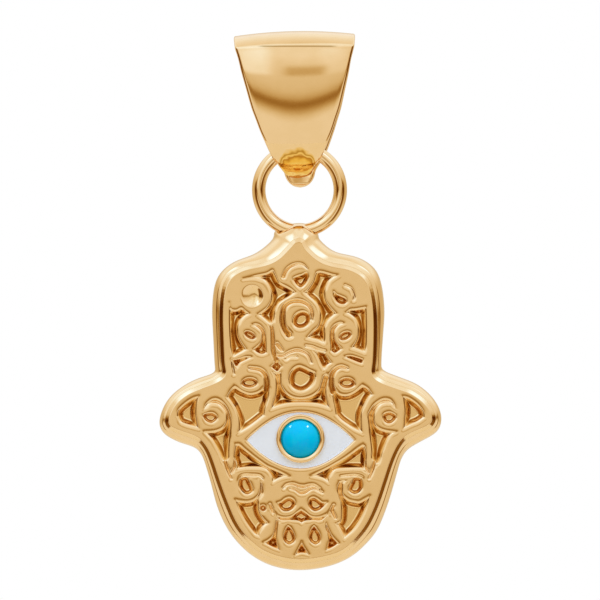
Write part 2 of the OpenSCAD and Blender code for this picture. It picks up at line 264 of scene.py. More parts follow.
# Dull strip in front and above level: its level by height, its middle aside, and its half length
STREAK_HEIGHTS = ((1.6, 0), (2.4, 0.3), (4.8, 0.3), (6.6, 0))
STREAK_ASIDE = 3.0
STREAK_ENDS = (4.0, 8.0)
# Brighter patches in front: where they begin aside, their levels left and right, and their heights
PATCH_ASIDE = (5.0, 10.0)
PATCH_LEFT = 0.32
PATCH_RIGHT = 0.12
PATCH_LOW = (1.0, 3.0)
PATCH_HIGH = (34.0, 50.0)
# Two round bright spots in front, on the left and right, and the degrees over which they fade
SPOT_ASIDE = 36
SPOT_HEIGHT = 38
SPOT_LEVEL = 0.6
SPOT_FADE = (5.0, 15.0)
# Lamps for the stone alone: degrees aside and up, and power
STONE_LAMPS = {"softbox_left": (-64, 46, 0.14), "softbox_right": (47, 49, 0.18)}
LAMP_WIDTH = 0.03
LAMP_DISTANCE = 0.25
# Light of each level has its own tint, warm where it is dim and cool where it is bright: a gain times a
# power of the level for red, green and blue, with other powers above level 1
TINT_GAINS = (0.95, 0.97, 1.0)
TINT_POWERS = (0.62, 1.0, 1.9)
BRIGHT_POWERS = (0.4, 1.0, 1.9)
TINT_STOPS = 17
TINT_SCALE = 3.0
LEVEL_MOST = 2.0

# Sunk fields between the strands: a closed curve, or stretches that each start where the one before ends
FIELDS = {
    "finger_left": [
        [(292, 288.5), (288, 286), (283, 283.5), (279, 280.5), (276, 274.5), (274, 270.5), (271.7, 269.2),
         (266, 272.3), (256, 274.5), (243, 278)],
        [(253, 277), (260, 278.5), (265, 281), (269, 287), (271, 294), (270.3, 300), (267, 306),
         (262, 310.5), (257.5, 313.5)],
        [(263, 318), (267, 321.5), (271, 325)],
        [(274, 320), (275, 315), (276, 309), (279, 304), (284, 300), (290, 296.5), (295.7, 291.5)],
    ],
    "finger_right": [
        [(319, 270.3), (323, 270.7), (328, 272), (333, 273.5), (338, 274.4)],
        [(330, 280), (327, 285), (325.5, 290), (325.5, 296), (327, 301), (330, 305.5), (333.5, 309.5),
         (336.7, 312.8)],
        [(331, 317.5), (327, 322), (325, 327), (325.3, 333), (325, 340), (323.5, 343)],
        [(318, 340), (312, 338.5), (306.3, 336.7)],
        [(312, 330.5), (317.5, 325), (319.5, 318), (319.5, 312), (317, 305.5), (313, 300.5), (308, 296),
         (303.5, 291.2)],
        [(306.5, 289.5), (310, 285), (313, 280), (314.5, 275), (316, 271.5)],
    ],
    "slot_left": [
        [(231.5, 308), (236, 309.3), (241.5, 307), (245.5, 310), (249.6, 313)],
        [(244, 316.5), (240, 321), (238.4, 326), (238.3, 332), (240, 338), (243, 343.5), (246.7, 348.5)],
        [(241, 352), (236, 354.8), (233, 357)],
        [(231.3, 351), (230.3, 345), (229.3, 330), (229, 316), (229.3, 302)],
    ],
    "slot_right": [
        [(355, 308), (350, 308.5), (345.3, 312)],
        [(350, 314.5), (354, 318), (356.5, 323), (357.7, 329), (357, 336), (354.8, 341.5), (351, 346.8)],
        [(356, 348.5), (361, 350.5), (364.5, 352)],
        [(366.3, 345), (366.8, 330), (366.6, 316), (366.3, 306)],
    ],
    "crescent_left": [
        [(256, 323), (260.5, 324.8), (264, 329), (265.8, 335), (266.2, 343), (266.5, 352)],
        [(262, 353.5), (257, 352), (253, 348.7)],
        [(257, 345.5), (260.5, 341.5), (262, 336), (261, 331), (257.5, 327), (252.3, 323.8)],
    ],
    "crescent_right": [
        [(340, 321.5), (335, 323.5), (331.5, 327), (330, 332), (330, 340), (330.7, 346), (330.5, 350)],
        [(335, 352.5), (341.8, 348)],
        [(338.5, 344), (335.5, 339.5), (334, 334), (335, 329), (338.5, 325), (344, 322.5)],
    ],
    "wing_left": [
        [(245, 356), (238, 358), (232.5, 358.5)],
        [(234, 363), (236.8, 366.5)],
        [(240, 362), (246, 359), (252, 356.2)],
    ],
    "wing_right": [
        [(350, 354.8), (357, 356.5), (362.7, 358.5)],
        [(361.7, 362.5)],
        [(356, 360.5), (350, 358), (344.5, 355.7)],
    ],
    "crown": [(292.5, 278), (297, 275), (302, 273.5), (307, 270.8), (309, 275), (307.5, 281),
              (304, 285.5), (300.5, 287.3), (296, 284.5)],
    "heart": [
        [(289.5, 372), (293.5, 367), (299, 364.5), (305, 366.3), (310, 368.8), (315.5, 371.3)],
        [(316, 376), (313.5, 383), (308, 388.5), (301, 391), (294, 389), (289.5, 384.5), (288, 378)],
    ],
    "feather": [
        [(319, 350.3), (325.5, 352)],
        [(328.5, 357.5), (331.8, 362)],
        [(327.5, 364.5), (323.7, 369.5)],
        [(320.5, 364), (317.5, 357), (314, 350.5)],
    ],
    "diamond": [
        [(281.7, 365)],
        [(277.5, 371.3)],
        [(270.5, 366)],
        [(276.5, 360)],
    ],
    "channel": [
        [(276, 371), (281.5, 371)],
        [(281.5, 378), (282, 384), (285, 389.5), (289, 393.5), (294, 396), (300.5, 396.8), (307, 396),
         (313, 393.5), (318.5, 388.5), (321, 381), (323, 375), (326, 372)],
        [(329.5, 376), (328, 383), (326.5, 390), (327.5, 398), (330, 407.5)],
        [(322, 404.8), (313, 403.2), (300, 402.6), (288, 403.4), (279, 405.2), (271, 408)],
        [(272.5, 401), (274.5, 395), (275.5, 388), (275.5, 381), (274, 375), (271, 369.5)],
    ],
    "cheek_left": [
        [(238, 387), (243, 390), (250, 392.3), (257, 391), (263, 387.5), (269.5, 388)],
        [(269.3, 394), (268, 400), (266, 406), (264.5, 414.5)],
        [(262, 416.5), (255, 422), (248, 427), (242, 430.5), (237.8, 432.5)],
        [(238.8, 424), (237.5, 416), (234.5, 408), (230.5, 401.5), (226.3, 396)],
        [(229.5, 390), (234, 384.8)],
    ],
    "cheek_right": [
        [(359, 386.5), (353, 391), (347, 393.5), (341, 393), (335, 389), (331.5, 389)],
        [(332, 395), (333, 401), (334.3, 407), (335.5, 414)],
        [(340, 419), (346, 423.5), (353, 428), (362.5, 432.5)],
        [(361.7, 422), (362, 412), (365.5, 403), (369, 397), (372.7, 393.3)],
        [(368.5, 387.5), (363, 383.5)],
    ],
    "thumb_left": [
        [(193, 397), (187, 400.5), (181, 405.5), (177.5, 410), (177, 415)],
        [(180, 421), (186, 424), (192, 425.7), (199, 427.5)],
        [(197, 417), (196.5, 410), (197.3, 403), (199, 395.3)],
    ],
    "thumb_right": [
        [(408, 396.3), (414, 399.8), (420, 405), (424, 411), (424.3, 416.5)],
        [(418, 421), (411, 424), (403, 428)],
        [(403.8, 417), (404.3, 409), (403.5, 402), (402.7, 395.3)],
    ],
    "wedge_left": [
        [(205, 404), (208, 400.5), (212, 398), (216, 397.5), (220, 399), (224, 402), (227.5, 406.5),
         (230, 412), (231.5, 418), (231.8, 425), (231, 433), (230, 440), (229.5, 450), (229.3, 457),
         (226, 462)],
        [(222, 459), (219, 453), (216, 447), (212, 440), (208, 435), (204, 430.8)],
        [(214, 430), (220, 428), (223.5, 425), (225.5, 421), (226, 417), (225, 412), (222, 407.5),
         (218, 404), (213, 403), (209, 404), (206, 407), (203.5, 408.5)],
    ],
    "wedge_right": [
        [(394.5, 403.5), (391.5, 399.5), (388, 397.8), (383, 397.7), (378, 400), (373, 404), (369.5, 409),
         (367.3, 414), (367.8, 421), (369, 430), (370, 440), (371, 450), (370.8, 457), (374, 463)],
        [(378, 463), (381, 458), (383, 451), (385.5, 444), (388, 438), (391, 434), (396.3, 431)],
        [(386, 429.5), (380, 427.5), (376, 424), (374.5, 419), (375, 413), (377, 408), (381, 404),
         (386, 402.5), (391, 403), (393.5, 406), (396, 408)],
    ],
    "pit_left": [(203.3, 413.5), (209, 411.8), (214, 412.3), (217.5, 416), (216, 419.5), (212, 422),
                 (207, 420.8), (204, 417.5)],
    "pit_right": [(382.5, 415), (385, 412), (390, 411), (395, 413.3), (396, 417), (392.5, 421.5),
                  (388, 422.7), (384, 420.5)],
    "under_left": [
        [(240, 443.5), (246, 448.5), (254, 455), (262, 461), (268, 465), (275, 468), (283, 471.8),
         (289.5, 475.5)],
        [(283, 476.5), (277.5, 478.7), (272.3, 481.5)],
        [(271, 476), (267.5, 470.5), (263, 467.8), (255, 467), (245, 467.3), (237, 468.5)],
        [(236, 463), (233.5, 456), (234.2, 449), (235.5, 443.2)],
    ],
    "under_right": [
        [(358, 446.5), (350, 452.5), (341, 458.5), (333, 463), (325, 467.5), (317, 471.5), (310.5, 475)],
        [(318, 476.5), (323.5, 478.5), (328.3, 481.8)],
        [(330, 475.5), (333.5, 470.5), (338, 468.7), (350, 468), (360, 468), (365, 469.5)],
        [(366.5, 460), (366.8, 452), (365.3, 446), (363, 443.5)],
    ],
    "bowl_left": [(238.3, 482), (239.5, 477.5), (243, 475.5), (247.5, 475.8), (250, 480), (252.5, 485),
                  (253.5, 489.5), (250, 493), (245.5, 493.5), (241.5, 490.5), (239, 486.5)],
    "bowl_right": [(348, 489), (348.7, 485.5), (351, 481), (353, 476.5), (357, 475.7), (361, 476.8),
                   (363, 481), (362.5, 487.5), (359, 492), (354, 493.3), (350, 491.5)],
    "heel_left": [
        [(262, 481), (263.5, 487), (263.3, 492), (261, 496), (259.3, 500), (259, 506), (260.5, 512),
         (264, 517.5), (268.2, 522)],
        [(263, 526.5), (260.5, 531), (259, 535.5)],
        [(254, 533), (248.5, 526.5), (243.5, 519), (239.5, 511.5), (237, 505), (235.5, 498.8)],
        [(240, 499.8), (247, 500.3), (253, 498.7), (257.5, 494.5), (259.5, 489), (260, 483), (259.5, 478)],
    ],
    "heel_right": [
        [(343, 478.8), (347, 479.3)],
        [(343.5, 482), (343, 487), (343, 492), (345, 495.5), (349, 498.5), (354, 500), (359, 500.5),
         (364, 498), (369.5, 495)],
        [(368, 503), (364, 513), (359, 522), (353, 530), (344, 538)],
        [(339, 528), (335.3, 522)],
        [(339.8, 519.5), (340.8, 512), (340.5, 504), (338.5, 497), (336.6, 490), (337, 485), (339, 480.5)],
    ],
    "loop_left": [
        [(281, 500.5), (285, 497.5), (289.5, 496.3), (294, 498.5), (295.8, 503), (293, 508), (288, 510.5),
         (282.5, 510), (279, 506.5), (277.3, 502)],
    ],
    "loop_right": [
        [(322.5, 501.3), (318, 498), (313.5, 496), (309.5, 497.5), (307.8, 502), (309.5, 507.5),
         (314.5, 510.5), (320, 509), (324, 505.5), (327, 501.3)],
    ],
    "collar": [
        [(279, 515.3), (285, 516.2), (291, 515), (296, 511.5), (301, 508.3)],
        [(306, 511.5), (311, 515), (318, 516), (325, 514), (329.5, 511)],
        [(322, 519), (312, 519.3), (305, 520), (301.5, 522)],
        [(298, 520), (292, 519.3), (280, 519), (275.5, 513)],
    ],
    "drop_left": [
        [(285.5, 528), (283.5, 533), (283, 537), (284.5, 541), (288.5, 543.5), (293, 542), (295.5, 538),
         (294.5, 533), (291.5, 527.5), (288, 524)],
    ],
    "drop_right": [
        [(311, 528), (309, 533), (308.7, 537), (310.5, 541), (315, 543.5), (319, 542), (321, 538),
         (320, 533), (317, 528), (314, 524)],
    ],
    "side_left": [
        [(278.3, 520), (277.3, 530), (277, 538), (279.2, 548.7)],
        [(273, 546.5), (268, 544), (263.5, 541.7)],
        [(269, 538.5), (272.8, 534), (274.5, 527), (276, 517)],
    ],
    "side_right": [
        [(327, 524), (329, 529), (331.5, 534), (335, 538.5), (338.7, 542.3)],
        [(332, 546.7), (326, 549)],
        [(327.2, 544), (328.3, 538.5), (327.5, 533), (325.8, 527.5), (325, 517.5)],
    ],
    "ear_right": [(333.5, 290.5), (333.3, 296), (336, 301), (340, 303.5), (344.5, 303.5), (347, 301),
                  (346, 297.5), (341, 295), (337, 293.5)],
    "foot": [
        [(304.5, 546.5), (308.7, 553.3)],
        [(301.5, 551.8), (294.8, 554)],
        [(298, 548), (301.7, 541.3)],
    ],
}

# Incised strokes: points of the path, then the half width of the cut at the path's start, middle and end
STROKES = [
    ([(271.3, 325.5), (272.6, 333), (273, 342), (273.6, 351), (276.5, 360)], (1.2, 1.5, 2.2)),
    ([(283.3, 276), (285.5, 271), (289, 267), (293, 264.7), (298, 263.5), (303, 264.2),
      (307, 268)], (1.6, 1.2, 0.4)),
    ([(288.5, 334), (284.5, 328), (282.7, 321), (282.7, 313), (284.5, 306), (290, 301.5), (297, 300.3),
      (304, 301.8), (309.5, 306), (312, 312), (311.5, 319)], (2.8, 2.0, 1.0)),
    ([(250, 367.2), (260, 369), (265.5, 374.5), (267, 382), (266, 390), (264, 395)], (1.2, 2.2, 3.0)),
    ([(347, 367.5), (341, 366), (335, 369), (331.5, 375), (331, 383), (333, 391)], (1.0, 2.0, 2.8)),
    ([(277, 343.5), (281.7, 349.3)], (1.6, 1.6, 1.2)),
    ([(276, 354.7), (283, 354.8), (290, 351.3), (297, 349.5), (304, 351.3), (308.5, 355.5),
      (311, 361.5)], (1.2, 1.2, 0.8)),
    ([(286, 358), (290, 355.7), (296.5, 356)], (1.0, 1.0, 0.6)),
    ([(306, 345.3), (312, 346.3), (318, 348.8), (324.5, 350.5)], (0.8, 1.0, 0.8)),
    ([(283.5, 487), (287, 484), (293, 483.3), (299, 485.2), (304, 485.7), (309, 484.5), (314, 484.5),
      (319, 488)],
     (0.6, 1.1, 0.6)),
    ([(290.5, 487.3), (295, 488.5), (300, 491.6), (305, 491), (310, 488), (315, 487.3),
      (322, 491.5)], (0.7, 1.4, 0.7)),
    ([(270, 503.5), (273, 511.5)], (0.8, 1.3, 0.8)),
    ([(333.7, 504.5), (332, 509.5), (335.3, 517)], (1.0, 1.6, 1.0)),
    ([(232, 360), (234, 373)], (0.5, 0.8, 0.4)),
    ([(345, 284.5), (351, 288), (354, 295), (353.5, 299)], (0.4, 0.8, 0.4)),
    ([(240, 480), (241.5, 476.5), (245, 474.5), (252, 474.3), (259, 474.8),
      (262.5, 477.5)], (0.3, 0.8, 0.5)),
    ([(341, 475.5), (347, 474.8), (354, 474.5), (361.5, 477)], (0.4, 0.8, 0.4)),
    ([(287, 331), (290.5, 335)], (2.2, 2.4, 1.0)),
    ([(225.5, 461), (227.5, 468), (231, 477)], (1.5, 1.5, 0.8)),
    ([(235, 459.5), (234.5, 466), (231, 472)], (1.0, 1.2, 0.8)),
    ([(374.5, 461), (372.5, 468), (369, 477)], (1.5, 1.5, 0.8)),
    ([(365, 459.5), (365.5, 466), (369, 472)], (1.0, 1.2, 0.8)),
]

# Turned oval holes: centre across and down, half width, half height, turn in degrees
OVALS = [
    (249.9, 334.2, 6, 3.4, -28), (345, 335, 6.5, 4, 25), (249.5, 381.8, 8, 5, 0), (347, 382, 8, 5.3, 0),
    (301.5, 319, 10, 8.5, 35), (263, 507, 3, 3, 0),
]

# Bowl of the left upper loop: centre across and down, radius, and depth, in steps
BOWL = (252, 295, 10.8, 2.6)
BOWL_SKEW = 0.6

# The hand's edge from the top down, in steps out from the middle line and up from the lower edge
EDGE = (
    # left outline, left flat edge, right outline, right flat edge
    ((8, 347.3), (1.5, 330.8), (6.5, 347.3), (1.2, 330.6)),
    ((15.5, 343.6), (3.2, 330.4), (12.5, 343.2), (2.5, 330)),
    ((22.5, 341), (4.8, 329.6), (17, 340), (3.8, 329)),
    ((25.5, 338.5), (7, 327.5), (19, 336), (5, 326)),
    ((27.5, 331), (10.5, 324), (21, 330.5), (9.5, 320)),
    ((44, 317.5), (27.5, 308.5), (35.5, 319), (25.5, 307.5)),
    ((67, 308.5), (56.5, 302), (60.5, 313), (50.5, 302)),
    ((83, 292.5), (71, 290), (79, 297.5), (66, 289.5)),
    ((87.5, 265), (76.5, 265), (85, 265), (73, 265)),
    ((86.5, 235), (76.5, 235), (83.8, 238), (74.8, 238)),
    ((85.2, 208), (75.5, 210), (82, 210), (74.5, 213)),
    ((86, 198), (74.5, 194), (84, 200.5), (73, 193)),
    ((103.5, 191.7), (94.5, 184.5), (100.5, 193.5), (92.5, 184)),
    ((120, 182.5), (111, 178), (119, 185.8), (110.5, 178)),
    ((133, 169.5), (125, 167), (134.5, 171.8), (126.5, 166.5)),
    ((140.3, 151), (132, 152), (142, 155), (133.5, 154)),
    ((136.5, 138), (128.5, 144.2), (138.2, 139.5), (129.5, 146.2)),
    ((122, 129), (117.5, 140.3), (121.5, 129.2), (113.5, 140)),
    ((105.5, 123.5), (102.5, 134.5), (109.5, 122), (104.5, 135)),
    ((98, 116), (93.5, 124), (102.5, 113), (98, 126)),
    ((93.5, 104), (87, 109), (98, 99), (91, 111.5)),
    ((88.5, 87), (80.5, 90), (93, 81), (84.5, 93)),
    ((82.5, 64), (72, 70), (86.5, 61), (76, 68.5)),
    ((73.5, 44), (62.5, 48), (78, 41), (67, 49.5)),
    ((61.5, 27.5), (52, 34.5), (66.5, 26.5), (57.5, 36)),
    ((45.5, 13.5), (39.5, 23), (50.5, 13.2), (45, 22)),
    ((25.5, 4), (22.5, 15.7), (28.5, 4), (26.5, 15.2)),
)
# The same on the centre line, at the top and at the bottom
EDGE_TOP = ((0, 348), (0, 331))
EDGE_LOW = ((0, 0.2), (0, 11.6))


def smooth_curve(points, turns, closed):
    """Curve through the points: between b and c it is the cubic that leaves b along c - a and meets c along
    d - b, where a and d are the points before and after them."""
    p = np.array(points, float)
    if closed:
        a, b, c, d = np.roll(p, 1, 0), p, np.roll(p, -1, 0), np.roll(p, -2, 0)
    else:
        q = np.vstack([2 * p[0] - p[1], p, 2 * p[-1] - p[-2]])
        a, b, c, d = q[:-3], q[1:-2], q[2:-1], q[3:]
    a, b, c, d = (v[:, None] for v in (a, b, c, d))
    t = (np.arange(turns) / turns)[None, :, None]
    cubic = 2 * b + (c - a) * t + (2 * a - 5 * b + 4 * c - d) * t**2 + (3 * b - a - 3 * c + d) * t**3
    return cubic.reshape(-1, p.shape[1]) / 2


def smoothed(rows, rounds=1):
    """Each row but the first and last moved halfway to the middle of its two neighbours, in place, each
    round."""
    for _ in range(rounds):
        rows[1:-1] = rows[1:-1] / 2 + (rows[2:] + rows[:-2]) / 4
    return rows


def edge_curve(which, turns=8, rounds=6):
    """The whole closed edge in steps, of the outline (0) or of the flat front (1), counter-clockwise from
    the top. Each round moves a point a quarter of the way to the middle of its two neighbours."""
    left = [(-row[which][0], row[which][1]) for row in EDGE]
    right = [row[which + 2] for row in EDGE[::-1]]
    curve = smooth_curve([EDGE_TOP[which], *left, EDGE_LOW[which], *right], turns, True)
    for _ in range(rounds):
        curve = curve / 2 + (np.roll(curve, 1, 0) + np.roll(curve, -1, 0)) / 4
    if which:
        curve = curve + (edge_curve(0) - curve) * FLAT_REACH * crease_share(curve[:, 1:])
    return curve


def crease_share(high):
    """How much of the crease between flat front and rim is left at a height in steps."""
    return 1 - (1 - RIM_ROUND_LEAST) * np.clip((high - FADE_START) / (FADE_END - FADE_START), 0, 1)


def closed_outline(shape):
    """Points round a sunk field: one closed curve, or smooth stretches that meet in sharp corners."""
    if isinstance(shape[0], tuple):
        return smooth_curve(shape, CURVE_TURNS, True)
    starts = [stretch[-1] for stretch in (shape[-1], *shape[:-1])]
    curves = [smooth_curve([start, *stretch], CURVE_TURNS, False) for start, stretch in zip(starts, shape)]
    return np.vstack(curves)


def oval_outline(across, down, half_w, half_h, turn):
    """Ellipse, turned counter-clockwise by the given degrees."""
    t = np.linspace(0, 2 * np.pi, OVAL_TURNS, endpoint=False)
    c, s = math.cos(math.radians(turn)), math.sin(math.radians(turn))
    x, y = half_w * np.cos(t), half_h * np.sin(t)
    return np.stack([across + x * c + y * s, down - x * s + y * c], 1)


def segment_distance(p, a, b):
    """Distance from each point to each segment a-b, and how far along it the nearest place lies."""
    ab = b - a
    along = ((p[:, None] - a) * ab).sum(2) / np.maximum((ab * ab).sum(1), 1e-12)
    along = np.clip(along, 0, 1)
    gap = p[:, None] - (a + along[..., None] * ab)
    return np.hypot(gap[..., 0], gap[..., 1]), along


def depth_inside(p, outline):
    """Distance from the outline in steps, positive inside, where a ray to the right crosses it an odd
    number of times."""
    a, b = outline, np.roll(outline, -1, 0)
    distance, _ = segment_distance(p, a, b)
    x, y = p[:, :1], p[:, 1:]
    crosses = (a[:, 1] > y) != (b[:, 1] > y)
    rise = np.where(a[:, 1] == b[:, 1], 1e-12, b[:, 1] - a[:, 1])
    right = x < a[:, 0] + (y - a[:, 1]) / rise * (b[:, 0] - a[:, 0])
    inside = (crosses & right).sum(1) % 2 == 1
    return np.where(inside, 1, -1) * distance.min(1)


def stroke_inside(p, path, widths):
    """How far inside a tapered stroke each point lies: the half width beside the nearest place, less the
    distance."""
    line = smooth_curve(path, CURVE_TURNS, False)
    line = np.vstack([line, path[-1]])
    share = np.linspace(0, 1, len(line))
    half = np.interp(share, (0, 0.5, 1), widths)
    distance, along = segment_distance(p, line[:-1], line[1:])
    half = half[:-1] + along * (half[1:] - half[:-1])
    return (half - distance).max(1)


def soft_positive(v, softness):
    """v where it is above zero and nothing below, with a bend of the given size between."""
    return (v + np.sqrt(v * v + softness * softness)) / 2


def wall_drop(inside, width):
    """Wall of a field, an S from edge to floor: 3 t^2 - 2 t^3 of the share t of the wall's width."""
    t = np.clip(inside * STEP / width, 0, 1)
    return RELIEF_DEPTH * t * t * (3 - 2 * t)


def stroke_drop(inside):
    """Straight side of a V with a softened edge."""
    return soft_positive(inside * STEP * STROKE_SLOPE, EDGE_SOFTNESS)


def pocket_drop(inside):
    """Steep wall of the eye's pocket, down to its floor."""
    return np.minimum(soft_positive(inside * STEP * POCKET_SLOPE, EDGE_SOFTNESS), POCKET_DEPTH)


def carve(p, drop, crown, box, measure, cut):
    """Cuts the points near the box by their measure, the distance inside the cut in steps. Beside the cut a
    rounded shoulder falls with the square of nearness."""
    margin = CROWN_STEPS + 0.5
    low, high = box.min(0) - margin, box.max(0) + margin
    near = np.flatnonzero(((p > low) & (p < high)).all(1))
    for part in np.array_split(near, len(near) // PLACES_AT_ONCE + 1):
        inside = measure(p[part])
        drop[part] = np.maximum(drop[part], cut(inside))
        crown[part] += np.clip(1 + inside / CROWN_STEPS, 0, 1) ** 2


def relief(across, down):
    """Depth of the front below its flat top, in millimetres, at places of the chart.

    A field's wall falls in an S to its floor, narrower in a small field. A stroke is a V, and the eye's
    pocket has a steep wall. The bowl is a cap of a sphere, made deeper toward its right. Where cuts meet,
    the deeper one holds, and where shoulders meet, they add up to a rounded crown. At the rim the front
    falls by a small step.
    """
    p = np.stack([across.ravel(), down.ravel()], 1)
    drop, crown = np.zeros(len(p)), np.zeros(len(p))
    outlines = [closed_outline(s) for s in FIELDS.values()] + [oval_outline(*row) for row in OVALS]
    for outline in outlines:
        width = min(RELIEF_WALL, np.ptp(outline, 0).min() / 2 * STEP * NARROW_SHARE)
        carve(p, drop, crown, outline, lambda q: depth_inside(q, outline), lambda v: wall_drop(v, width))
    for path, widths in STROKES:
        line = np.array(path)
        box = np.vstack([line - max(widths), line + max(widths)])
        carve(p, drop, crown, box, lambda q: stroke_inside(q, path, widths), stroke_drop)
    eye = almond_outline(EYE_HALF_W, EYE_HALF_H) / STEP * [1, -1] + [EYE_ACROSS, EYE_DOWN]
    carve(p, drop, crown, eye, lambda q: depth_inside(q, eye), pocket_drop)
    drop += CROWN_DROP * np.minimum(crown, 1)
    flat = edge_curve(1) * [1, -1] + [CENTRE, LOW]
    for part in np.array_split(np.arange(len(p)), RIM_PARTS):
        near, _ = segment_distance(p[part], flat, np.roll(flat, -1, 0))
        step = soft_positive(1 - near.min(1) / RIM_ROUND_STEPS, RIM_ROUND_SOFTNESS)
        drop[part] += RIM_ROUND * crease_share(LOW - p[part, 1]) * step
    across_0, down_0, bowl_r, bowl_depth = BOWL
    curve_r = (bowl_r**2 + bowl_depth**2) / (2 * bowl_depth)
    out = np.hypot(p[:, 0] - across_0, p[:, 1] - down_0)
    fall = np.sqrt(np.maximum(curve_r**2 - out**2, 0)) - (curve_r - bowl_depth)
    fall *= 1 + BOWL_SKEW * np.clip((p[:, 0] - across_0) / bowl_r, -1, 1)
    return np.maximum(drop, soft_positive(fall * STEP, EDGE_SOFTNESS)).reshape(across.shape)


def almond_outline(half_w, half_h, turns=48):
    """Two parabolas that meet in the almond's corners, counter-clockwise from the right corner, in
    millimetres."""
    u = np.cos(np.linspace(0, np.pi, turns + 1))
    top = np.stack([u * half_w, half_h * (1 - u * u)], 1)
    return np.vstack([top[:-1], -top[:-1]])


def to_place(across, down, y):
    """Chart places and depths as points of the frame, in metres."""
    x = (across - CENTRE) * STEP
    z = HAND_LOW_Z + (LOW - down) * STEP
    return np.stack([x, y, z], -1) * MM


def grid_faces(rows, columns, wrap_rows=False, wrap_columns=False):
    """Corner numbers of the faces between the points of a grid, which may close on itself either way."""
    r = np.arange(rows if wrap_rows else rows - 1)[:, None]
    c = np.arange(columns if wrap_columns else columns - 1)[None, :]
    below, beside = (r + 1) % rows, (c + 1) % columns
    corners = [r * columns + c, below * columns + c, below * columns + beside, r * columns + beside]
    return np.stack(np.broadcast_arrays(*corners), -1).reshape(-1, 4)


def make_piece(name, points, faces, material, body, node, flat_from=None):
    """Mesh object from points and faces of three or four corners, riding on a body in place of a node.
    Faces from number flat_from on are shaded flat."""
    mesh = bpy.data.meshes.new(name)
    sizes = np.concatenate([np.full(len(f), f.shape[1]) for f in faces])
    corners = np.concatenate([f.ravel() for f in faces])
    mesh.vertices.add(len(points))
    mesh.vertices.foreach_set("co", np.ascontiguousarray(points, np.float32).ravel())
    mesh.loops.add(len(corners))
    mesh.loops.foreach_set("vertex_index", corners.astype(np.int32))
    mesh.polygons.add(len(sizes))
    mesh.polygons.foreach_set("loop_start", np.concatenate([[0], np.cumsum(sizes)[:-1]]).astype(np.int32))
    smooth = np.ones(len(sizes), bool)
    if flat_from is not None:
        smooth[flat_from:] = False
    mesh.polygons.foreach_set("use_smooth", smooth)
    mesh.update(calc_edges=True)
    mesh.materials.append(material)
    piece = bpy.data.objects.new(name, mesh)
    bpy.context.scene.collection.objects.link(piece)
    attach(piece, body)
    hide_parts(node)
    return piece


def fine_steps(start, end, count, crowd=0.0):
    """count + 1 places from start to end, drawn together towards the end by the given share."""
    t = np.linspace(0, 1, count + 1)
    return start + (end - start) * (t + crowd * np.sin(np.pi * t) / np.pi)


def front_band(name, high, columns, gold, first_row=None):
    """Front of the hand between two heights: each row runs from the left to the right edge of the flat
    front and falls by the relief's depth. A given first row, the last one of the band above, is met along
    its own line. Returns the last row, for the band below."""
    edge = edge_curve(1)
    half = int(np.argmin(edge[:, 1]))
    left, right = edge[: half + 1], np.vstack([edge[half:], edge[:1]])
    order_l, order_r = np.argsort(left[:, 1]), np.argsort(right[:, 1])
    x0 = np.interp(high, left[order_l, 1], left[order_l, 0])
    x1 = np.interp(high, right[order_r, 1], right[order_r, 0])
    share = np.linspace(0, 1, columns + 1)
    across = CENTRE + x0[:, None] + (x1 - x0)[:, None] * share
    down = np.broadcast_to(LOW - high[:, None], across.shape)
    depth = relief(across, down)
    smoothed(depth.T)
    points = to_place(across, down, -HALF_T + smoothed(depth))
    if first_row is not None:
        where = np.linspace(0, 1, len(first_row))
        points[0] = np.stack([np.interp(share, where, first_row[:, k]) for k in range(3)], 1)
    faces = grid_faces(len(high), columns + 1)
    make_piece(name, points.reshape(-1, 3), [faces], gold, "pendant", "hamsa_body")
    return points[-1]


def hand_front(gold):
    """The carved front in four bands, from the neck to the lower edge, with finer rows at both ends."""
    top, low = edge_curve(1)[:, 1].max(), edge_curve(1)[:, 1].min()
    first, second, third = BAND_HEIGHTS
    near_top, near_low = top - FINE_REACH, low + FINE_REACH
    fingers = [fine_steps(top, near_top, *TOP_ROWS)[:-1], fine_steps(near_top, first, FINGER_GRID[0])]
    palm = [fine_steps(third, near_low, PALM_GRID[0])[:-1], fine_steps(near_low, low, *LOW_ROWS)]
    row = front_band("front_fingers", np.concatenate(fingers), FINGER_GRID[1], gold)
    row = front_band("front_thumbs", fine_steps(first, second, THUMB_GRID[0]), THUMB_GRID[1], gold, row)
    row = front_band("front_eye", fine_steps(second, third, EYE_GRID[0]), EYE_GRID[1], gold, row)
    front_band("front_palm", np.concatenate(palm), PALM_GRID[1], gold, row)


def ladder(n, start):
    """Faces that close a ring of n points, in bands between each point and the one across from it."""
    i = np.arange(1, n // 2 - 1)
    quads = start + np.stack([i, i + 1, n - i - 1, n - i], 1)
    ends = start + np.array([[0, 1, n - 1], [n // 2 - 1, n // 2, n // 2 + 1]])
    return quads[:, ::-1], ends[:, ::-1]


